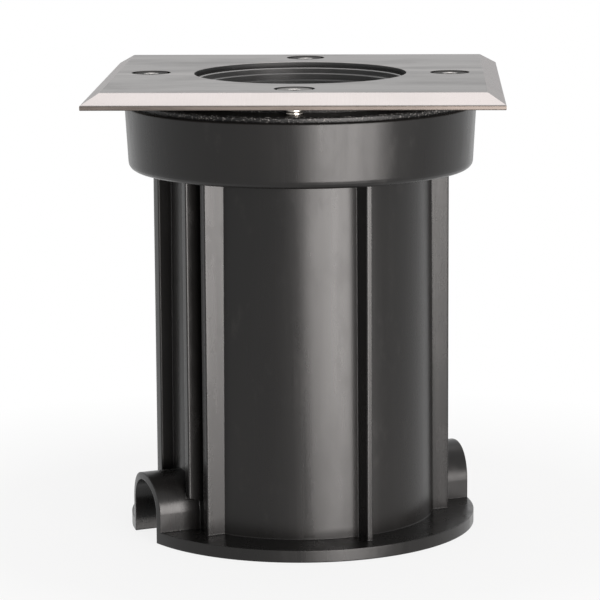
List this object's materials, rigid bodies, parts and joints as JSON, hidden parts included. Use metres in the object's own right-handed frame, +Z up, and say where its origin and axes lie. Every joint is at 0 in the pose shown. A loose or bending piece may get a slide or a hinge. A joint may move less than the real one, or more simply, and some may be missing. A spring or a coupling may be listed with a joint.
{
  "type": "in-ground well light",
  "caption": "Walk-over well light: square bevelled steel cover with a round aperture on a sealed lamp housing that drops into a ribbed black installation sleeve.",
  "frame": {"origin": "middle of the sleeve's foot, on the ground plane that the foot stands on", "axes": "+Z up along the light's axis through the aperture; X and Y along the cover plate's edges, -Y towards the viewer"},
  "size_m": [0.11, 0.11, 0.126],
  "materials": {
    "sleeve_plastic": "satin black moulded polypropylene",
    "textured_black": "fine texture black powder coat on die-cast aluminium",
    "brushed_plate": "straight brushed stainless steel",
    "screw_steel": "bright stainless steel",
    "ring_black": "satin black",
    "seal_rubber": "soft black rubber",
    "clear_glass": "clear toughened glass",
    "lamp_aluminium": "bright reflector aluminium",
    "lamp_white": "white moulded base",
    "ceramic": "off-white ceramic",
    "brass": "plain brass",
    "zinc_steel": "zinc plated steel",
    "block_plastic": "cream nylon",
    "lead_sleeve": "silicone insulation",
    "gland_nylon": "black nylon"
  },
  "bodies": {
    "sleeve": {"installation_sleeve": "sleeve_plastic"},
    "seat": {"seat_ring": "seal_rubber"},
    "luminaire": {"lamp_housing": "textured_black", "lower_glass_seal": "seal_rubber", "glass": "clear_glass", "upper_glass_seal": "seal_rubber", "retaining_ring": "ring_black", "cover_seal": "seal_rubber", "lamp_holder": "ceramic", "holder_contacts": "brass", "holder_bracket": "zinc_steel", "holder_screws": "zinc_steel", "bracket_screws": "zinc_steel", "terminal_block": "block_plastic", "terminal_poles": "brass", "terminal_screws": "zinc_steel", "holder_leads": "lead_sleeve", "earth_screw": "brass", "gland_body": "gland_nylon", "gland_washer": "seal_rubber", "gland_locknut": "gland_nylon", "gland_seal": "seal_rubber"},
    "cover": {"cover_plate": "brushed_plate"},
    "screw_front": {"cover_screw_front": "screw_steel"},
    "screw_back": {"cover_screw_back": "screw_steel"},
    "screw_left": {"cover_screw_left": "screw_steel"},
    "screw_right": {"cover_screw_right": "screw_steel"},
    "lamp": {"lamp_reflector": "lamp_aluminium", "lamp_lens": "clear_glass", "lamp_capsule": "clear_glass", "lamp_base": "lamp_white", "lamp_pins": "zinc_steel"},
    "gland_nut": {"gland_dome_nut": "gland_nylon"}
  },
  "joints": [
    {"name": "luminaire_turn", "type": "hinge", "parent": "sleeve", "child": "seat", "pos_m": [0, 0, 0.1074], "axis": [0, 0, 1], "continuous": true},
    {"name": "luminaire_lift", "type": "slide", "parent": "seat", "child": "luminaire", "axis": [0, 0, 1], "range_m": [0, 0.125]},
    {"name": "cover_lift", "type": "slide", "parent": "luminaire", "child": "cover", "axis": [0, 0, 1], "range_m": [0, 0.04]},
    {"name": "screw_front_turn", "type": "hinge", "parent": "cover", "child": "screw_front", "pos_m": [0, -0.041, 0.12], "axis": [0, 0, 1], "continuous": true},
    {"name": "screw_back_turn", "type": "hinge", "parent": "cover", "child": "screw_back", "pos_m": [0, 0.041, 0.12], "axis": [0, 0, 1], "continuous": true},
    {"name": "screw_left_turn", "type": "hinge", "parent": "cover", "child": "screw_left", "pos_m": [-0.041, 0, 0.12], "axis": [0, 0, 1], "continuous": true},
    {"name": "screw_right_turn", "type": "hinge", "parent": "cover", "child": "screw_right", "pos_m": [0.041, 0, 0.12], "axis": [0, 0, 1], "continuous": true},
    {"name": "lamp_twist", "type": "hinge", "parent": "luminaire", "child": "lamp", "pos_m": [0, 0, 0.06], "axis": [0, 0, 1], "range_deg": [0, 22]},
    {"name": "gland_nut_turn", "type": "hinge", "parent": "luminaire", "child": "gland_nut", "pos_m": [0, 0, 0.015], "axis": [0, 0, 1], "continuous": true}
  ]
}
